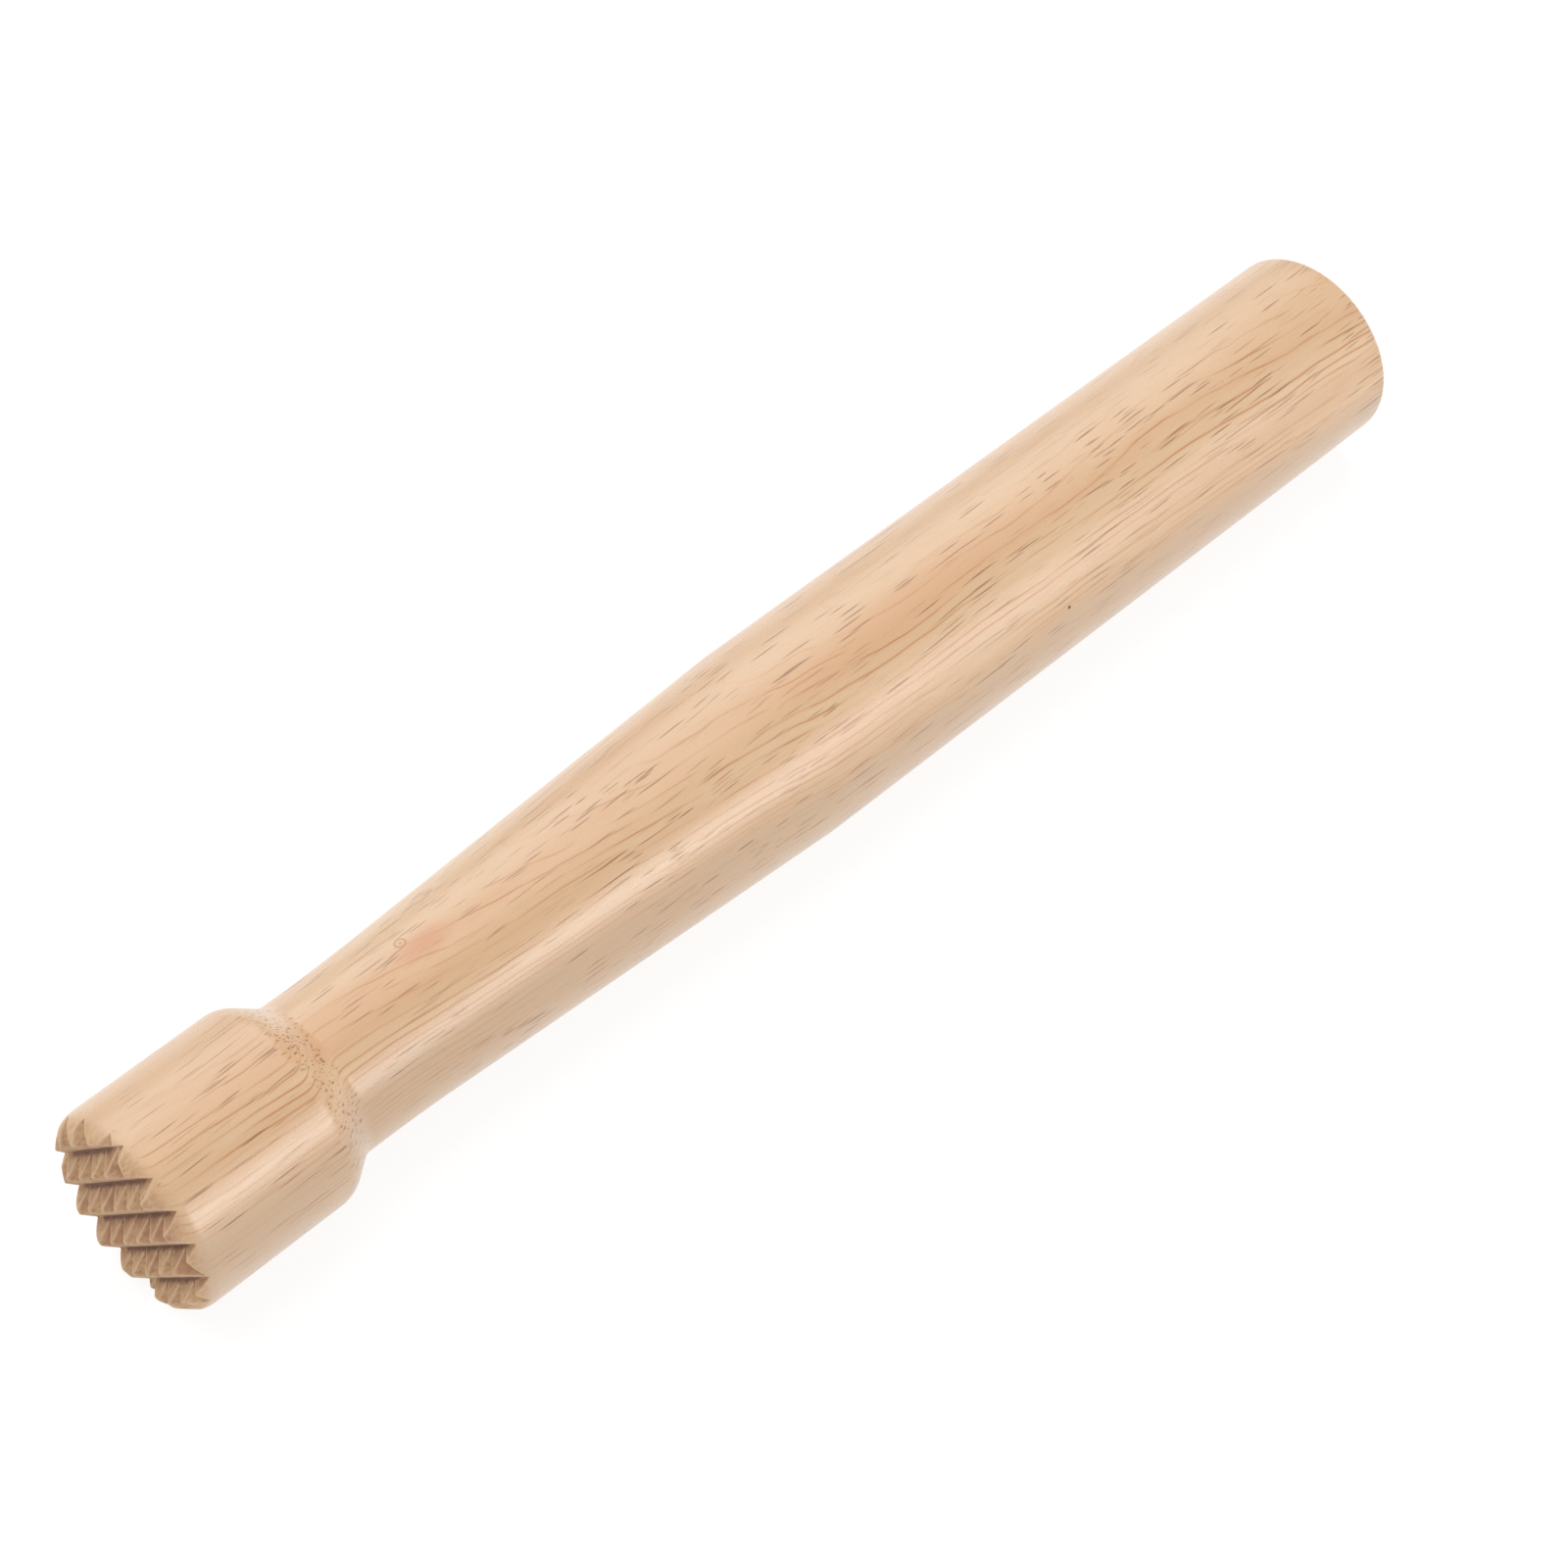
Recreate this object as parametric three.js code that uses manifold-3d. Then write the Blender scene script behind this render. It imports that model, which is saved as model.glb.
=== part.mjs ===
// One-piece turned wooden meat mallet with a toothed striking face.
// Millimetres, +Z up. The mallet lies on its side: its axis is parallel to +X, the toothed
// face looks to -X and the flat butt to +X. The origin is under the middle of the length,
// on the surface that the mallet lies on.
import * as THREE from "three";
import { mergeVertices } from "three/addons/utils/BufferGeometryUtils.js";
import Module from "manifold-3d";

// Driving dimensions
const TOTAL_LENGTH = 255;
const BODY_DIAMETER = 33;
const NECK_DIAMETER = 25.5;
const SHOULDER_START = 27.3;
const SHOULDER_ROUND = 5.7;
const SHOULDER_SLOPE = THREE.MathUtils.degToRad(36);
const NECK_FILLET = 4;
const FLARE_END = 125.6;
const FLARE_ANGLE = THREE.MathUtils.degToRad(2.65);
const FLARE_BLEND_RADIUS = 300;
const RIM_ROUND = 4.5;
const BUTT_ROUND = 1.6;

// Teeth: two sets of V grooves that cross a few degrees off square. Each set lies across the
// turn given here and is counted from a groove close to the axis. The land is the flat strip
// left between two neighbouring grooves.
const TOOTH_PITCH = 5.37;
const TOOTH_LAND = 0.4;
const GROOVE_DEPTH = 3.1;
const ROWS = { turn: THREE.MathUtils.degToRad(43.1), middle: -0.2, first: -3, last: 2 };
const COLUMNS = { turn: THREE.MathUtils.degToRad(129), middle: 0.4, first: -2, last: 2 };

// Fineness of the faceted surface
const SIDES = 64;
const STEPS_PER_QUARTER = 6;
const BLEND_STEPS = 5;
const SMALLEST_DETAIL = 0.005;
const WELD_DISTANCE = 0.0001;

const BODY_RADIUS = BODY_DIAMETER / 2;
const NECK_RADIUS = NECK_DIAMETER / 2;

// Points on an arc about (x, r), from one angle to another, both ends included. The angle
// is measured from the mallet's axis direction towards the radius.
function arc(x, r, radius, from, to, steps) {
  const points = [];
  for (let i = 0; i <= steps; i++) {
    const angle = from + ((to - from) * i) / steps;
    points.push([x + radius * Math.cos(angle), r + radius * Math.sin(angle)]);
  }
  return points;
}

// The turned outline as [distance from the tooth tips, radius], from face to butt.
function outline() {
  const quarter = Math.PI / 2;
  const drop = BODY_RADIUS - NECK_RADIUS;
  const bend = SHOULDER_SLOPE;
  const bendDrop = (SHOULDER_ROUND + NECK_FILLET) * (1 - Math.cos(bend));
  const bendLength = (SHOULDER_ROUND + NECK_FILLET) * Math.sin(bend);
  const neckStart = SHOULDER_START + bendLength + (drop - bendDrop) / Math.tan(bend);

  const blendRise = FLARE_BLEND_RADIUS * (1 - Math.cos(FLARE_ANGLE));
  const blendLength = FLARE_BLEND_RADIUS * Math.sin(FLARE_ANGLE);
  const coneLength = (drop - blendRise) / Math.tan(FLARE_ANGLE);
  const blendStart = FLARE_END - coneLength - blendLength;

  const rim = arc(RIM_ROUND, BODY_RADIUS - RIM_ROUND, RIM_ROUND, Math.PI, quarter, STEPS_PER_QUARTER);
  const round = arc(
    SHOULDER_START, BODY_RADIUS - SHOULDER_ROUND, SHOULDER_ROUND,
    quarter, quarter - bend, STEPS_PER_QUARTER,
  );
  const fillet = arc(
    neckStart, NECK_RADIUS + NECK_FILLET, NECK_FILLET,
    -quarter - bend, -quarter, STEPS_PER_QUARTER,
  );
  const blend = arc(
    blendStart, NECK_RADIUS + FLARE_BLEND_RADIUS, FLARE_BLEND_RADIUS,
    -quarter, FLARE_ANGLE - quarter, BLEND_STEPS,
  );
  const butt = arc(
    TOTAL_LENGTH - BUTT_ROUND, BODY_RADIUS - BUTT_ROUND, BUTT_ROUND,
    quarter, 0, STEPS_PER_QUARTER,
  );
  const head = [[0, 0], ...rim, ...round, ...fillet];
  const handle = [...blend, [FLARE_END, BODY_RADIUS], ...butt, [TOTAL_LENGTH, 0]];
  return [...head, ...handle];
}

// The turned blank about the X axis, tooth tips at x = 0. Half a facet of turn lays a flat
// facet on the surface below.
function turnedBlank() {
  const points = outline().map(([x, r]) => new THREE.Vector2(r, x));
  const blank = new THREE.LatheGeometry(points, SIDES, Math.PI / SIDES);
  return blank.rotateZ(-Math.PI / 2);
}

// One V groove right across the face, its bottom edge at the given offset from the centre.
function groove(offset, turn) {
  const over = 1;
  const halfMouth = ((TOOTH_PITCH - TOOTH_LAND) / 2) * (1 + over / GROOVE_DEPTH);
  const section = new THREE.Shape();
  section.moveTo(GROOVE_DEPTH, offset);
  section.lineTo(-over, offset + halfMouth);
  section.lineTo(-over, offset - halfMouth);
  const span = BODY_DIAMETER + 4 * over;
  const cut = new THREE.ExtrudeGeometry(section, { depth: span, bevelEnabled: false });
  return cut.translate(0, 0, -span / 2).rotateX(turn);
}

const wasm = await Module();
wasm.setup();

function toSolid(geometry) {
  const bare = geometry.clone();
  bare.deleteAttribute("normal");
  bare.deleteAttribute("uv");
  const merged = mergeVertices(bare, WELD_DISTANCE);
  return new wasm.Manifold(new wasm.Mesh({
    numProp: 3,
    vertProperties: new Float32Array(merged.attributes.position.array),
    triVerts: new Uint32Array(merged.index.array),
  }));
}

function toGeometry(solid) {
  const mesh = solid.getMesh();
  const geometry = new THREE.BufferGeometry();
  geometry.setAttribute("position", new THREE.BufferAttribute(mesh.vertProperties, 3));
  geometry.setIndex(new THREE.BufferAttribute(mesh.triVerts, 1));
  geometry.computeVertexNormals();
  return geometry;
}

function malletGeometry() {
  let solid = toSolid(turnedBlank());
  for (const set of [ROWS, COLUMNS]) {
    for (let i = set.first; i <= set.last; i++) {
      solid = solid.subtract(toSolid(groove(set.middle + i * TOOTH_PITCH, set.turn)));
    }
  }
  return toGeometry(solid.simplify(SMALLEST_DETAIL));
}

const wood = new THREE.MeshStandardMaterial({ color: 0xdcb68c, roughness: 0.45, metalness: 0 });

const mallet = new THREE.Mesh(malletGeometry(), wood);
mallet.name = "mallet_body";
mallet.position.set(-TOTAL_LENGTH / 2, 0, BODY_RADIUS * Math.cos(Math.PI / SIDES));

const part = new THREE.Group();
part.add(mallet);

export default part;
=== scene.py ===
"""Looks for a one-piece turned wooden meat mallet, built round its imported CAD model.

The mallet lies along X, its toothed face towards -X. One fine mesh stands for the CAD solid:
the turned body, and the sawn teeth as a height field over the face. Lengths are in
millimetres until a mesh is made.
"""
import math

import bpy
import numpy as np
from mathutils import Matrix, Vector
from mathutils.geometry import delaunay_2d_cdt
from mathutils.kdtree import KDTree


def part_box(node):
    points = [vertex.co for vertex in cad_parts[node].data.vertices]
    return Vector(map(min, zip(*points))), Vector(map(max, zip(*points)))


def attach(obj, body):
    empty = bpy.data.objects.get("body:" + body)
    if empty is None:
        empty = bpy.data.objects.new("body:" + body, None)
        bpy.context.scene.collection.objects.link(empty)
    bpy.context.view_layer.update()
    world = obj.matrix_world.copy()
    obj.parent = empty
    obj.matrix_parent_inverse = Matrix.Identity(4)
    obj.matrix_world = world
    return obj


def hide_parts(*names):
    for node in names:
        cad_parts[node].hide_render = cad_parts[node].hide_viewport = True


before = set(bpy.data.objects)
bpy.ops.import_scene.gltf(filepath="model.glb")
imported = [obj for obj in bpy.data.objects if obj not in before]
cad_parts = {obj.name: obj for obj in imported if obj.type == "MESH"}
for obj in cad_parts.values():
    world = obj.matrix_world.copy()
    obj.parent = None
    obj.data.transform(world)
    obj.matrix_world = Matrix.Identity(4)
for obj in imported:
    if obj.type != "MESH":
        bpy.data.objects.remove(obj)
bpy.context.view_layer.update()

MM = 0.001
NODE = "mallet_body"

# The turned outline, as in the CAD model. Length and radius come from the CAD box.
BOX_LOW, BOX_HIGH = (Vector(corner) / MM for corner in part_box(NODE))
LENGTH = BOX_HIGH.x - BOX_LOW.x
RADIUS = (BOX_HIGH.z - BOX_LOW.z) / 2
AXIS_HEIGHT = BOX_LOW.z + RADIUS
NECK_RADIUS = 12.75
SHOULDER_START = 27.3
SHOULDER_ROUND = 5.7
SHOULDER_SLOPE = math.radians(36)
NECK_FILLET = 4.0
FLARE_END = 125.6
FLARE_ANGLE = math.radians(2.65)
FLARE_BLEND_RADIUS = 300.0
RIM_ROUND = 4.5
BUTT_ROUND = 1.6

# Teeth: two sets of V grooves, each across the turn given here and counted from a groove close to
# the axis. The sets cross a few degrees off square.
TOOTH_PITCH = 5.37
TOOTH_LAND = 0.4
ROWS = np.arange(-3, 3) * TOOTH_PITCH - 0.2
ROWS_TURN = math.radians(43.1)
COLUMNS = np.arange(-2, 3) * TOOTH_PITCH + 0.4
COLUMNS_TURN = math.radians(129.0)
GROOVE_DEPTH = 3.1
HALF_MOUTH = (TOOTH_PITCH - TOOTH_LAND) / 2
FLAT_RADIUS = RADIUS - RIM_ROUND

# Width over which the teeth's edges are worn round, and over which "ridge" falls to nothing
EDGE_WEAR = 0.12
RIDGE_WIDTH = 0.45

# Fineness of the mesh. The face's own part ends a little farther up the rim than the grooves do.
SIDES = 384
FACE_STEP = 0.19
CREASE_STEP = 0.12
CORNER_STEP = CREASE_STEP * 0.7
CLOSEST_POINTS = 0.075
LONG_STEP = 2.5
FILLET_STEP = 0.3
RIM_SAMPLES = 4001
FACE_MARGIN = 0.15


def arc(x, r, radius, start, end, step):
    """Points [x, r] on an arc, the angle measured from the mallet's axis towards its radius."""
    count = max(2, math.ceil(abs(end - start) * radius / step))
    angles = np.linspace(start, end, count + 1)
    return np.stack([x + radius * np.cos(angles), r + radius * np.sin(angles)], 1)


def straight(a, b, step):
    """Points [x, r] from a to b, without a itself."""
    a, b = np.array(a, float), np.array(b, float)
    count = max(1, math.ceil(np.linalg.norm(b - a) / step))
    return a + (b - a) * np.arange(1, count + 1)[:, None] / count


def body_outline(start_angle):
    """The outline [distance from the tooth tips, radius], from the rim's round to just before the
    butt's centre."""
    quarter = math.pi / 2
    drop = RADIUS - NECK_RADIUS
    bend = SHOULDER_SLOPE
    bend_drop = (SHOULDER_ROUND + NECK_FILLET) * (1 - math.cos(bend))
    bend_length = (SHOULDER_ROUND + NECK_FILLET) * math.sin(bend)
    neck_start = SHOULDER_START + bend_length + (drop - bend_drop) / math.tan(bend)
    blend_rise = FLARE_BLEND_RADIUS * (1 - math.cos(FLARE_ANGLE))
    blend_length = FLARE_BLEND_RADIUS * math.sin(FLARE_ANGLE)
    cone_length = (drop - blend_rise) / math.tan(FLARE_ANGLE)
    blend_start = FLARE_END - cone_length - blend_length

    rim = arc(RIM_ROUND, RADIUS - RIM_ROUND, RIM_ROUND, start_angle, quarter, FILLET_STEP)
    shoulder = arc(
        SHOULDER_START, RADIUS - SHOULDER_ROUND, SHOULDER_ROUND,
        quarter, quarter - bend, FILLET_STEP,
    )
    fillet = arc(
        neck_start, NECK_RADIUS + NECK_FILLET, NECK_FILLET,
        -quarter - bend, -quarter, FILLET_STEP,
    )
    blend = arc(
        blend_start, NECK_RADIUS + FLARE_BLEND_RADIUS, FLARE_BLEND_RADIUS,
        -quarter, FLARE_ANGLE - quarter, LONG_STEP,
    )
    butt = arc(LENGTH - BUTT_ROUND, RADIUS - BUTT_ROUND, BUTT_ROUND, quarter, 0, FILLET_STEP)
    return np.concatenate([
        rim,
        straight(rim[-1], shoulder[0], LONG_STEP)[:-1],
        shoulder,
        straight(shoulder[-1], fillet[0], FILLET_STEP),
        fillet[1:],
        straight(fillet[-1], blend[0], LONG_STEP)[:-1],
        blend,
        straight(blend[-1], (FLARE_END, RADIUS), LONG_STEP),
        straight((FLARE_END, RADIUS), butt[0], LONG_STEP)[:-1],
        butt,
        straight(butt[-1], (LENGTH, 0.0), LONG_STEP)[:-1],
    ])


def smooth_max(a, b, wear):
    """The larger of a and b, rounded off over a width of about wear where they cross."""
    share = np.clip(0.5 + 0.5 * (a - b) / wear, 0, 1)
    return b + (a - b) * share + wear * share * (1 - share)


def rim_height(r):
    """Distance from the tip plane to the rounded end of the uncut head, at radius r."""
    out = np.clip(r - FLAT_RADIUS, 0, RIM_ROUND)
    return RIM_ROUND - np.sqrt(RIM_ROUND**2 - out**2)


def rim_radius(height):
    """The radius where the uncut head's rounded end lies at this distance from the tip plane."""
    return FLAT_RADIUS + np.sqrt(RIM_ROUND**2 - (RIM_ROUND - height) ** 2)


def groove_height(y, z, turn, bottoms):
    """Distance from the tip plane to the sides of one set's grooves, negative past their mouths."""
    across = y * math.cos(turn) + z * math.sin(turn)
    nearest = np.round((across - bottoms[0]) / TOOTH_PITCH)
    nearest = np.clip(nearest, 0, len(bottoms) - 1).astype(int)
    return GROOVE_DEPTH * (1 - np.abs(across - bottoms[nearest]) / HALF_MOUTH)


def crossing(a, b, width):
    """One where the heights a and b cross, falling to nothing where they are width apart."""
    return np.clip(1 - np.abs(a - b) / width, 0, 1)


def face_height(y, z):
    """The toothed face as distance from the tip plane, how deep below the uncut head it lies, and
    how close to a ridge of the teeth."""
    uncut = rim_height(np.hypot(y, z))
    rows = groove_height(y, z, ROWS_TURN, ROWS)
    columns = groove_height(y, z, COLUMNS_TURN, COLUMNS)
    cut = smooth_max(rows, columns, EDGE_WEAR)
    height = smooth_max(uncut, cut, EDGE_WEAR)
    corner = crossing(rows, columns, RIDGE_WIDTH) * np.clip((cut - uncut) / RIDGE_WIDTH, 0, 1)
    return height, height - uncut, np.maximum(corner, crossing(uncut, cut, RIDGE_WIDTH))


def unrolled(y, z):
    """Where points of the head's end lie when the rim's round is rolled out flat."""
    r = np.maximum(np.hypot(y, z), 1e-9)
    bend = np.arcsin(np.clip((r - FLAT_RADIUS) / RIM_ROUND, 0, 1))
    stretch = np.where(r > FLAT_RADIUS, (FLAT_RADIUS + RIM_ROUND * bend) / r, 1)
    return np.stack([y * stretch, z * stretch], 1)


def turned(across, along, turn):
    """Points [y, z] from their places across and along a set of grooves."""
    c, s = math.cos(turn), math.sin(turn)
    return np.stack([across * c - along * s, across * s + along * c], 1)


def crossed(row, column):
    """Points [y, z] from their places across the rows and across the columns."""
    c, s = math.cos(ROWS_TURN), math.sin(ROWS_TURN)
    d, t = math.cos(COLUMNS_TURN), math.sin(COLUMNS_TURN)
    area = c * t - s * d
    return np.stack([(row * t - column * s) / area, (column * c - row * d) / area], 1)


def even(points, step):
    """Points picked at even distances along the line through a dense run of points."""
    length = np.concatenate([[0], np.cumsum(np.hypot(*np.diff(points, axis=0).T))])
    _, picked = np.unique(np.floor(length / step), return_index=True)
    return points[picked]


def rim_crossings(turn, bottoms):
    """Points along the lines where the grooves of one set run out through the rim, except where a
    groove of the other set is deeper."""
    lines = []
    dense = np.linspace(-HALF_MOUTH, HALF_MOUTH, RIM_SAMPLES)
    height = GROOVE_DEPTH * (1 - np.abs(dense) / HALF_MOUTH)
    radius = rim_radius(height)
    for bottom in bottoms:
        across = bottom + dense
        inside = radius > np.abs(across)
        along = np.sqrt(radius[inside] ** 2 - across[inside] ** 2)
        for side in (-1, 1):
            points = turned(across[inside], side * along, turn)
            kept = face_height(*points.T)[0] < height[inside] + EDGE_WEAR
            if kept.any():
                lines.append(even(points[kept], CREASE_STEP))
    return lines


def crease_points(edge):
    """Points along the teeth's edges, out to the radius edge: groove bottoms, tooth ridges, tooth
    corners, and where the grooves run out through the rim."""
    along = np.arange(-RADIUS, RADIUS, CREASE_STEP)
    lines = []
    for turn, bottoms in ((ROWS_TURN, ROWS), (COLUMNS_TURN, COLUMNS)):
        for side in (-HALF_MOUTH, 0, HALF_MOUTH):
            lines += [turned(np.full_like(along, bottom + side), along, turn) for bottom in bottoms]
        lines += rim_crossings(turn, bottoms)
    corner = np.arange(-HALF_MOUTH, HALF_MOUTH, CORNER_STEP)
    for row in ROWS:
        for column in COLUMNS:
            lines.append(crossed(row + corner, column + corner))
            lines.append(crossed(row + corner, column - corner))
    points = np.concatenate(lines)
    return points[np.hypot(*points.T) < edge]


def thinned(points, gap):
    """Which points stay when each one keeps its distance from the ones kept before it."""
    tree = KDTree(len(points))
    for i, (u, v) in enumerate(points):
        tree.insert((u, v, 0), i)
    tree.balance()
    kept = np.ones(len(points), bool)
    for i, (u, v) in enumerate(points):
        if kept[i]:
            for _, j, _ in tree.find_range((u, v, 0), gap):
                if j > i:
                    kept[j] = False
    return kept


def unit_circle():
    """SIDES points [y, z] round the axis."""
    turn = np.arange(SIDES) * 2 * math.pi / SIDES
    return np.stack([np.cos(turn), np.sin(turn)], 1)


def face_points(edge_radius, edge_angle):
    """Points [y, z] over the face and their unrolled places: first the ring at its edge, then the
    creases, then an even filling."""
    circle = unit_circle()
    rings = math.ceil(RIM_ROUND * edge_angle / FACE_STEP)
    radii = FLAT_RADIUS + RIM_ROUND * np.sin(edge_angle * np.arange(1, rings) / rings)
    rim = (radii[:, None, None] * circle).reshape(-1, 2)
    span = np.arange(-RADIUS, RADIUS, FACE_STEP)
    across, along = np.meshgrid(span, span)
    flat = turned(across.ravel(), along.ravel(), ROWS_TURN)
    reach = np.hypot(*flat.T)
    cut = face_height(*flat.T)[1] > EDGE_WEAR
    inside = (reach < FLAT_RADIUS) | (cut & (reach < edge_radius))
    uncut = face_height(*rim.T)[1] < EDGE_WEAR
    points = np.concatenate([
        edge_radius * circle, crease_points(edge_radius), flat[inside], rim[uncut],
    ])
    places = unrolled(*points.T)
    kept = thinned(places, CLOSEST_POINTS)
    return points[kept], places[kept]


def mallet_mesh():
    """The whole mallet as one closed mesh. The attribute "cut" is how deep a point lies in a groove,
    and "ridge" is one along the teeth's ridges."""
    edge_angle = math.acos(1 - (GROOVE_DEPTH + FACE_MARGIN) / RIM_ROUND)
    edge_radius = FLAT_RADIUS + RIM_ROUND * math.sin(edge_angle)
    points, places = face_points(edge_radius, edge_angle)
    height, cut, ridge = face_height(*points.T)
    height[:SIDES] = rim_height(np.full(SIDES, edge_radius))
    cut[:SIDES] = 0
    ridge[:SIDES] = 0
    vertices = [np.column_stack([height, points])]
    triangles = delaunay_2d_cdt([Vector(place) for place in places], [], [], 0, 1e-6)[2]
    # x looks away from the face, so its triangles are turned over to face outwards
    faces = [tuple(reversed(t)) for t in triangles]

    outline = body_outline(math.pi - edge_angle)[1:]
    circle = unit_circle()
    for x, r in outline:
        vertices.append(np.column_stack([np.full(SIDES, x), r * circle]))
    first = len(points) - SIDES
    for k in range(len(outline)):
        a = 0 if k == 0 else first + k * SIDES
        b = first + (k + 1) * SIDES
        for i in range(SIDES):
            j = (i + 1) % SIDES
            faces.append((a + i, a + j, b + j, b + i))
    centre = len(points) + len(outline) * SIDES
    last = centre - SIDES
    vertices.append(np.array([[LENGTH, 0.0, 0.0]]))
    for i in range(SIDES):
        faces.append((last + i, last + (i + 1) % SIDES, centre))

    places = np.concatenate(vertices) + (BOX_LOW.x, 0, AXIS_HEIGHT)
    mesh = bpy.data.meshes.new("mallet")
    mesh.from_pydata((places * MM).tolist(), [], faces)
    for name, values in (("cut", cut), ("ridge", ridge)):
        attribute = mesh.attributes.new(name, "FLOAT", "POINT")
        padded = np.pad(values, (0, len(places) - len(values)))
        attribute.data.foreach_set("value", padded.astype(np.float32))
    mesh.shade_smooth()
    mesh.validate()
    return mesh


# The wood's grain, as solid shapes in millimetres: x from the tooth tips, y and z from the axis.
# The grain wanders sideways by up to half the drift, slowly, and half the ripple, quickly.
GRAIN_DRIFT = 4.0
GRAIN_RIPPLE = 1.1
PITH_DISTANCE = 30.0
PITH_DIRECTION = (-0.378, -0.926)
PITH_LEAN = (0.022, -0.020)
LINES_PER_MM = 1.05
STREAK_ACROSS = (0.968, 0.251)
STREAK_WIDTH = 5.8
STREAK_FADE = (140.0, 220.0)
# Painted shade: rings nearer the pith than these distances lie towards the lower side and turn tan
LOWER_SIDE_SHADE_RINGS = (39.0, 33.0)
KNOT = (54.0, 1.6, 13.1)
KNOT_RING = 0.8
KNOT_PATCH = (56.5, -1.3, 13.0)
SPECK = (176.5, -15.8, 4.7)
SPECK_RADIUS = 0.4

# Colours of the lacquered wood, its marks, and the raw wood in the grooves
CREAM = (0.615, 0.425, 0.265)
PEACH = (0.580, 0.372, 0.218)
STREAK = (0.545, 0.305, 0.150)
# Painted shade on the lower side, as a tan tone
LOWER_SIDE_SHADE = (0.440, 0.310, 0.200)
LINE_BROWN = (0.400, 0.165, 0.050)
VESSEL_BROWN = (0.230, 0.092, 0.036)
KNOT_ROSE = (0.530, 0.255, 0.130)
SPECK_BROWN = (0.060, 0.030, 0.020)
RAW_LIGHT = (0.590, 0.380, 0.205)
RAW_DARK = (0.430, 0.235, 0.125)
RAW_RED = (0.380, 0.175, 0.100)
# Painted shade in the groove bottoms
GROOVE_SHADE = (0.170, 0.075, 0.048)
# Painted highlight along the teeth's ridges and where the grooves meet the rim
RIDGE_HIGHLIGHT = (0.700, 0.520, 0.340)

# How strongly each mark covers the wood below it
# Painted shade on the lower side
LOWER_SIDE_SHADE_COVER = 0.75
LINE_COVER = 0.80
VESSEL_COVER = 0.84
FIBRE_COVER = 0.26
PATCH_COVER = 0.8
KNOT_COVER = 0.65
RIM_COVER = 0.75
REDDISH_COVER = 0.6
# Painted highlight along the teeth's ridges
RIDGE_HIGHLIGHT_COVER = 0.7
# Painted shade in the groove bottoms
GROOVE_SHADE_COVER = 0.85

# The lacquer, and the height of the surface's relief in millimetres
COAT_WEIGHT = 0.45
COAT_ROUGHNESS = 0.28
RAW_ROUGHNESS = 0.42
SPECKLES_PER_MM = 3.0
SPECKLE_RELIEF = 0.020
VESSEL_RELIEF = 0.012
FRAY_RELIEF = 0.12


class Nodes:
    """Short ways to add shader nodes to one material. A value may be a number, a tuple or a socket."""

    def __init__(self, material):
        self.tree = material.node_tree

    def add(self, kind, values=None, output=0, **settings):
        node = self.tree.nodes.new("ShaderNode" + kind)
        for name, setting in settings.items():
            setattr(node, name, setting)
        for name, value in (values or {}).items():
            self.put(node.inputs[name], value)
        return node.outputs[output]

    def put(self, socket, value):
        if isinstance(value, bpy.types.NodeSocket):
            self.tree.links.new(value, socket)
        elif isinstance(value, tuple) and socket.type == "RGBA" and len(value) == 3:
            socket.default_value = (*value, 1)
        else:
            socket.default_value = value

    def maths(self, operation, a, b=0.0, c=0.0):
        return self.add("Math", {0: a, 1: b, 2: c}, operation=operation)

    def times(self, first, *others):
        """The product of all the values."""
        for other in others:
            first = self.maths("MULTIPLY", first, other)
        return first

    def vector(self, operation, a, b, c=(0, 0, 0)):
        return self.add("VectorMath", {0: a, 1: b, 2: c}, operation=operation)

    def length(self, a):
        return self.add("VectorMath", {0: a}, 1, operation="LENGTH")

    def measure(self, operation, a, b):
        """A number from two vectors, such as their distance."""
        return self.add("VectorMath", {0: a, 1: b}, 1, operation=operation)

    def ramp(self, value, low, high, out_low=0.0, out_high=1.0):
        """A smooth step of value from low to high."""
        values = {
            "Value": value, "From Min": low, "From Max": high, "To Min": out_low, "To Max": out_high,
        }
        return self.add("MapRange", values, interpolation_type="SMOOTHSTEP")

    def noise(self, place, stretch, detail=2.0, output=0):
        """Soft noise with the feature counts per millimetre given along x, y and z."""
        at = self.vector("MULTIPLY", place, stretch)
        return self.add("TexNoise", {"Vector": at, "Scale": 1.0, "Detail": detail}, output)

    def ring_noise(self, ring, scale, detail):
        """Soft noise that stays the same all along a growth ring."""
        values = {"W": ring, "Scale": scale, "Detail": detail}
        return self.add("TexNoise", values, noise_dimensions="1D")

    def mix(self, factor, a, b):
        node = self.tree.nodes.new("ShaderNodeMix")
        node.data_type = "RGBA"
        for socket, value in zip([node.inputs[0], node.inputs[6], node.inputs[7]], (factor, a, b)):
            self.put(socket, value)
        return node.outputs[2]


def grain_place(wood, place):
    """Where a point lies in the grain, which wanders a little on its way along the mallet."""
    slow = wood.noise(place, (0.014, 0.035, 0.035), 1.0, output=1)
    quick = wood.noise(place, (0.055, 0.13, 0.13), 2.0, output=1)
    moves = []
    for noise, reach in ((slow, GRAIN_DRIFT), (quick, GRAIN_RIPPLE)):
        moves.append(wood.vector("MULTIPLY_ADD", noise, (0, reach, reach), (0, -reach / 2, -reach / 2)))
    return wood.vector("ADD", place, wood.vector("ADD", *moves))


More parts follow.
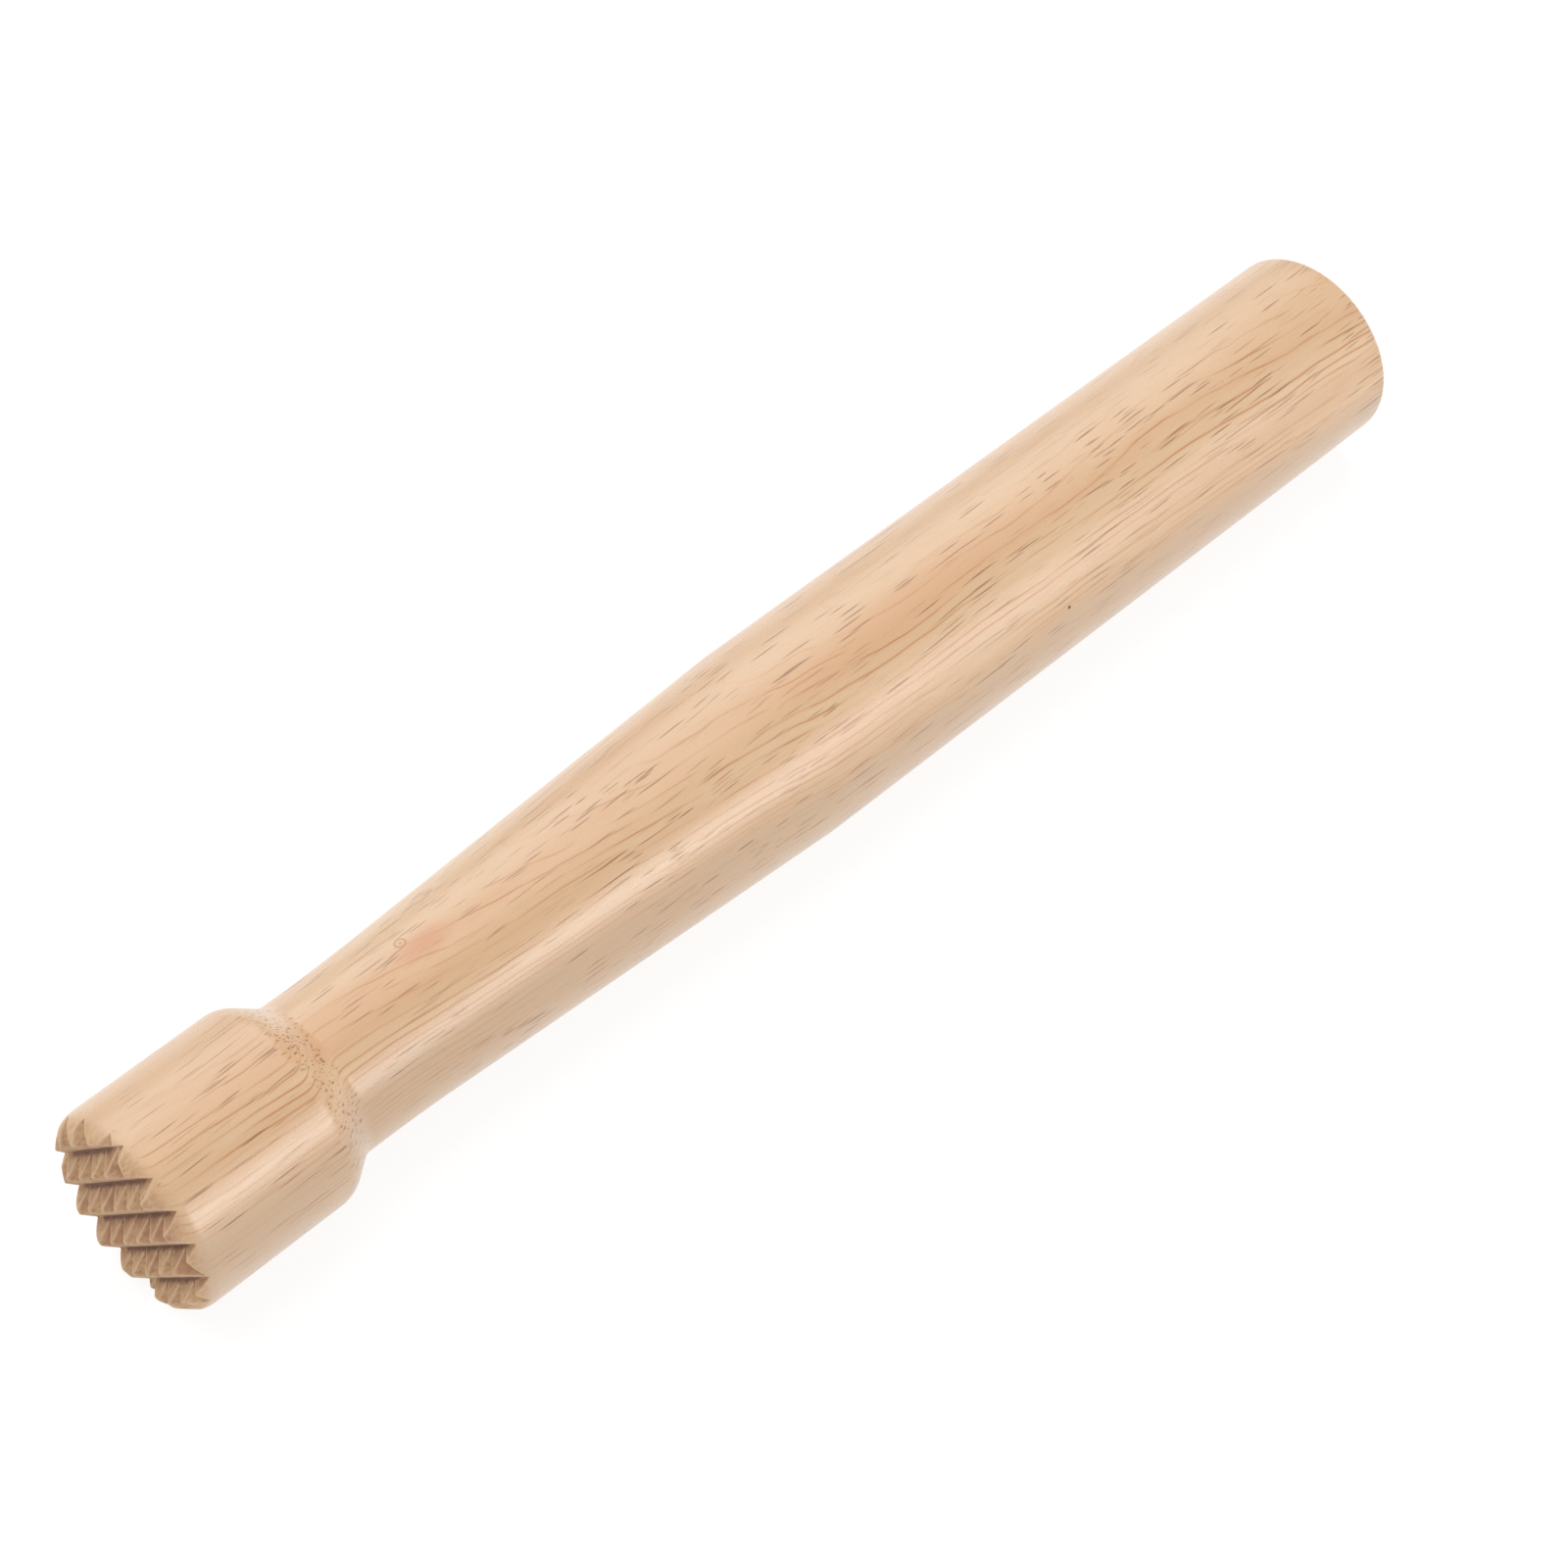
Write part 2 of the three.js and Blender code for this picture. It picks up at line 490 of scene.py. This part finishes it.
def growth_rings(wood, place, grain, from_tips):
    """The distance from a pith beside the mallet, leaning to its axis, and how steeply the turned
    surface cuts the rings: 0 where it runs along them, near 1 straight across."""
    x_only = wood.add("CombineXYZ", {0: 0.0, 1: from_tips, 2: from_tips})
    lean = wood.vector("MULTIPLY", x_only, (0, *PITH_LEAN))
    pith = tuple(side * PITH_DISTANCE for side in PITH_DIRECTION)
    from_pith = wood.vector("SUBTRACT", wood.vector("SUBTRACT", grain, (0, *pith)), lean)
    across = wood.vector("MULTIPLY", from_pith, (0, 1, 1))
    outward = wood.vector("NORMALIZE", wood.vector("MULTIPLY", place, (0, 1, 1)), (0, 0, 0))
    radial = wood.vector("NORMALIZE", across, (0, 0, 0))
    return wood.length(across), wood.length(wood.vector("CROSS_PRODUCT", outward, radial))


def tones(wood, grain, from_tips, ring):
    """Cream to peach from ring to ring, painted shade as a tan tone on the rings towards the lower
    side, and a warm streak along the upper side.
    """
    ring_tone = wood.ring_noise(ring, 0.33, 3.0)
    patch = wood.noise(grain, (0.012, 0.10, 0.10), 2.0)
    tone = wood.maths("ADD", wood.times(ring_tone, 0.5), wood.times(patch, 0.5))
    colour = wood.mix(wood.ramp(tone, 0.36, 0.64), CREAM, PEACH)
    # Painted shade: the rings towards the lower side turn tan
    colour = wood.mix(wood.ramp(ring, *LOWER_SIDE_SHADE_RINGS, 0.0, LOWER_SIDE_SHADE_COVER), colour, LOWER_SIDE_SHADE)
    sideways = wood.measure("DOT_PRODUCT", grain, (0, *STREAK_ACROSS))
    streak = wood.times(
        wood.ramp(wood.maths("ABSOLUTE", sideways), STREAK_WIDTH, 1.0),
        wood.ramp(wood.add("SeparateXYZ", {0: grain}, 2), 0.0, 6.0),
        wood.ramp(patch, 0.30, 0.60, 0.40, 0.80),
        wood.ramp(from_tips, *STREAK_FADE, 1.0, 0.35),
    )
    return wood.mix(streak, colour, STREAK)


def ring_lines(wood, colour, grain, ring, steep, end_grain):
    """Thin lines at ring borders, stronger and weaker along their way."""
    border = wood.add(
        "TexVoronoi", {"W": ring, "Scale": LINES_PER_MM},
        voronoi_dimensions="1D", feature="DISTANCE_TO_EDGE",
    )
    border = wood.maths("DIVIDE", border, wood.maths("MAXIMUM", steep, 0.15))
    strength = wood.times(
        wood.ramp(wood.noise(grain, (0.030, 0.45, 0.45), 3.0), 0.38, 0.62),
        wood.ramp(steep, 0.10, 0.34, 0.15, 1.0),
        wood.ramp(steep, 0.98, 0.60, 0.35, 1.0),
        wood.maths("MULTIPLY_ADD", end_grain, -0.7, 1.0),
    )
    line = wood.times(wood.ramp(border, 0.24, 0.05), strength)
    shade = wood.times(wood.ramp(border, 0.9, 0.0, 0.0, 0.25), strength)
    colour = wood.mix(shade, colour, STREAK)
    return wood.mix(wood.times(line, LINE_COVER), colour, LINE_BROWN)


def vessels(wood, place, stretch, share, width):
    """How far a point lies inside a vessel: thin cells drawn out along x, a share of them filled."""
    at = wood.vector("MULTIPLY", place, stretch)
    voronoi = wood.tree.nodes.new("ShaderNodeTexVoronoi")
    wood.put(voronoi.inputs["Vector"], at)
    voronoi.inputs["Scale"].default_value = 1.0
    inside = wood.ramp(voronoi.outputs["Distance"], width, width * 0.45)
    chance = wood.add("SeparateColor", {"Color": voronoi.outputs["Color"]})
    present = wood.ramp(chance, 1 - share, 1 - share + 0.25)
    return wood.times(inside, present)


def all_vessels(wood, grain, ring, end_grain):
    """Short and long dashes, crowded in some rings and patches, and pores on the end grain."""
    crowd = wood.times(
        wood.ramp(wood.noise(grain, (0.02, 0.16, 0.16), 1.0), 0.38, 0.55, 0.55, 1.0),
        wood.ramp(wood.ring_noise(ring, 1.3, 1.0), 0.40, 0.52, 0.30, 1.0),
    )
    short = vessels(wood, grain, (0.09, 2.1, 2.1), 0.7, 0.36)
    long = vessels(wood, grain, (0.03, 1.6, 1.6), 0.7, 0.28)
    dashes = wood.times(wood.maths("MAXIMUM", short, long), crowd)
    pores = wood.times(vessels(wood, grain, (0.05, 1.25, 1.25), 0.75, 0.34), end_grain)
    return wood.maths("MAXIMUM", dashes, pores)


def knot_and_speck(wood, colour, place, grain):
    """A pin knot on the neck in a rosy patch, and a dark speck on the handle."""
    offset = wood.vector("SUBTRACT", grain, KNOT_PATCH)
    from_patch = wood.length(wood.vector("MULTIPLY", offset, (0.15, 0.30, 0.30)))
    colour = wood.mix(wood.ramp(from_patch, 1.0, 0.2, 0.0, PATCH_COVER), colour, KNOT_ROSE)
    from_knot = wood.measure("DISTANCE", place, KNOT)
    from_ring = wood.maths("ABSOLUTE", wood.maths("SUBTRACT", from_knot, KNOT_RING))
    knot = wood.maths("MAXIMUM", wood.ramp(from_ring, 0.30, 0.05), wood.ramp(from_knot, 0.35, 0.15))
    colour = wood.mix(wood.times(knot, KNOT_COVER), colour, LINE_BROWN)
    from_speck = wood.measure("DISTANCE", place, SPECK)
    return wood.mix(wood.ramp(from_speck, SPECK_RADIUS, SPECK_RADIUS / 2), colour, SPECK_BROWN)


def raw_wood(wood, colour, place, from_tips, fray):
    """The colour with raw wood in the grooves and over the rim, a painted highlight along the teeth's
    ridges and painted shade in the groove bottoms, and how raw the surface is."""
    cut = wood.add("Attribute", output=2, attribute_name="cut")
    ridge = wood.add("Attribute", output=2, attribute_name="ridge")
    over_rim = wood.ramp(wood.maths("ADD", from_tips, wood.times(fray, 1.6)), 4.6, 2.4)
    raw = wood.maths("MAXIMUM", wood.times(over_rim, RIM_COVER), wood.ramp(cut, 0.02, 0.12))
    raw_colour = wood.mix(wood.ramp(fray, 0.35, 0.75), RAW_LIGHT, RAW_DARK)
    reddish = wood.noise(place, (0.10, 0.28, 0.28), 2.0)
    raw_colour = wood.mix(wood.ramp(reddish, 0.46, 0.64, 0.0, REDDISH_COVER), raw_colour, RAW_RED)
    # Painted highlight along the teeth's ridges and the grooves' edges at the rim
    raw_colour = wood.mix(wood.times(ridge, RIDGE_HIGHLIGHT_COVER), raw_colour, RIDGE_HIGHLIGHT)
    colour = wood.mix(raw, colour, raw_colour)
    depth = wood.maths("ADD", cut, wood.times(fray, 0.9))
    # Painted shade in the deepest part of each groove
    bottom = wood.ramp(depth, GROOVE_DEPTH - 0.45, GROOVE_DEPTH + 0.30)
    return wood.mix(wood.times(bottom, GROOVE_SHADE_COVER), colour, GROOVE_SHADE), raw


def surface_bump(wood, speckle, vessel, fray, raw):
    """Relief: dimpled lacquer, sunken vessels, frayed fibres on the raw wood."""
    dimples = wood.times(speckle, SPECKLE_RELIEF)
    relief = wood.maths("SUBTRACT", dimples, wood.times(vessel, VESSEL_RELIEF))
    relief = wood.maths("ADD", relief, wood.times(fray, raw, FRAY_RELIEF))
    return wood.add("Bump", {"Strength": 1.0, "Distance": 1.0, "Height": wood.times(relief, MM)})


def wood_material():
    """Turned wood under satin lacquer, which the raw wood in the grooves does not have."""
    material = bpy.data.materials.new("lacquered_wood")
    material.use_nodes = True
    shader = material.node_tree.nodes["Principled BSDF"]
    wood = Nodes(material)

    at_object = wood.add("TexCoord", output=3)
    per_mm = (1 / MM, 1 / MM, 1 / MM)
    place = wood.vector("MULTIPLY_ADD", at_object, per_mm, (-BOX_LOW.x, 0, -AXIS_HEIGHT))
    from_tips = wood.add("SeparateXYZ", {0: place})
    facing = wood.add("SeparateXYZ", {0: wood.add("TexCoord", output=1)})
    end_grain = wood.ramp(wood.maths("ABSOLUTE", facing), 0.15, 0.60)
    grain = grain_place(wood, place)
    ring, steep = growth_rings(wood, place, grain, from_tips)
    vessel = all_vessels(wood, grain, ring, end_grain)
    fibre = wood.noise(grain, (0.10, 4.5, 4.5), 3.0)
    fray = wood.noise(place, (0.30, 2.0, 2.0), 3.0)
    speckle = wood.noise(place, (SPECKLES_PER_MM, SPECKLES_PER_MM, SPECKLES_PER_MM), 2.0)

    colour = tones(wood, grain, from_tips, ring)
    colour = ring_lines(wood, colour, grain, ring, steep, end_grain)
    colour = wood.mix(wood.times(vessel, VESSEL_COVER), colour, VESSEL_BROWN)
    colour = wood.mix(wood.ramp(fibre, 0.40, 0.66, 0.0, FIBRE_COVER), colour, STREAK)
    colour = knot_and_speck(wood, colour, place, grain)
    colour, raw = raw_wood(wood, colour, place, from_tips, fray)

    satin = wood.maths(
        "ADD", wood.ramp(speckle, 0.3, 0.7, 0.13, 0.19), wood.ramp(fibre, 0.3, 0.7, 0.12, 0.18),
    )
    bump = surface_bump(wood, speckle, vessel, fray, raw)
    wood.put(shader.inputs["Base Color"], colour)
    wood.put(shader.inputs["Roughness"], wood.maths("ADD", satin, wood.times(raw, RAW_ROUGHNESS)))
    wood.put(shader.inputs["Coat Weight"], wood.ramp(raw, 0.5, 0.1, 0.0, COAT_WEIGHT))
    shader.inputs["Coat Roughness"].default_value = COAT_ROUGHNESS
    wood.put(shader.inputs["Normal"], bump)
    wood.put(shader.inputs["Coat Normal"], bump)
    return material


def make_mallet():
    mallet = bpy.data.objects.new("mallet", mallet_mesh())
    bpy.context.scene.collection.objects.link(mallet)
    mallet.data.materials.append(wood_material())
    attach(mallet, "root")
    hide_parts(NODE)


# The stage and camera, in metres from here on except where MM says otherwise. The floor gives off
# some light of its own, which keeps the mallet's shadow faint.
FLOOR_HALF = 3.0
FLOOR_GREY = 0.18
FLOOR_ROUGHNESS = 0.9
FLOOR_GLOW = 0.85
ROOM_LIGHT = 0.60
KEY_PLACE, KEY_SIZE, KEY_WATTS = (0.1, 0.85, 1.5), (2.6, 2.6), 34
FRONT_PLACE, FRONT_SIZE, FRONT_WATTS = (0.30, -0.87, 0.29), (0.70, 0.40), 4.0
VIEW_AZIMUTH = math.radians(-45)
VIEW_ELEVATION = math.radians(48.5)
VIEW_DISTANCE = 571.0  # mm
VIEW_TARGET = Vector((-5.65, -7.4, AXIS_HEIGHT))  # mm
SENSOR = 36.0  # mm
LENS = 86.6  # mm


def make_floor():
    mesh = bpy.data.meshes.new("floor")
    corners = [(-1, -1), (1, -1), (1, 1), (-1, 1)]
    mesh.from_pydata([(x * FLOOR_HALF, y * FLOOR_HALF, 0) for x, y in corners], [], [(0, 1, 2, 3)])
    floor = bpy.data.objects.new("floor", mesh)
    bpy.context.scene.collection.objects.link(floor)
    material = bpy.data.materials.new("pale_floor")
    material.use_nodes = True
    shader = material.node_tree.nodes["Principled BSDF"]
    shader.inputs["Base Color"].default_value = (FLOOR_GREY, FLOOR_GREY, FLOOR_GREY, 1)
    shader.inputs["Roughness"].default_value = FLOOR_ROUGHNESS
    shader.inputs["Emission Color"].default_value = (1, 1, 1, 1)
    shader.inputs["Emission Strength"].default_value = FLOOR_GLOW
    mesh.materials.append(material)


def make_camera():
    data = bpy.data.cameras.new("camera")
    data.sensor_width = SENSOR
    data.lens = LENS
    camera = bpy.data.objects.new("camera", data)
    bpy.context.scene.collection.objects.link(camera)
    back = Vector((
        math.sin(VIEW_AZIMUTH) * math.cos(VIEW_ELEVATION),
        -math.cos(VIEW_AZIMUTH) * math.cos(VIEW_ELEVATION),
        math.sin(VIEW_ELEVATION),
    ))
    camera.location = (VIEW_TARGET + back * VIEW_DISTANCE) * MM
    camera.rotation_mode = "QUATERNION"
    camera.rotation_quaternion = (-back).to_track_quat("-Z", "Y")
    bpy.context.scene.camera = camera


def area_light(name, place, size, power):
    data = bpy.data.lights.new(name, "AREA")
    data.shape = "RECTANGLE"
    data.size, data.size_y = size
    data.energy = power
    light = bpy.data.objects.new(name, data)
    light.location = place
    light.rotation_mode = "QUATERNION"
    light.rotation_quaternion = (-Vector(place)).to_track_quat("-Z", "Y")
    bpy.context.scene.collection.objects.link(light)


def make_lights():
    world = bpy.data.worlds.new("studio")
    bpy.context.scene.world = world
    world.use_nodes = True
    background = world.node_tree.nodes["Background"]
    background.inputs["Color"].default_value = (1, 1, 1, 1)
    background.inputs["Strength"].default_value = ROOM_LIGHT
    area_light("key", KEY_PLACE, KEY_SIZE, KEY_WATTS)
    area_light("front", FRONT_PLACE, FRONT_SIZE, FRONT_WATTS)


make_floor()
make_mallet()
make_camera()
make_lights()
bpy.context.scene.view_settings.view_transform = "Standard"
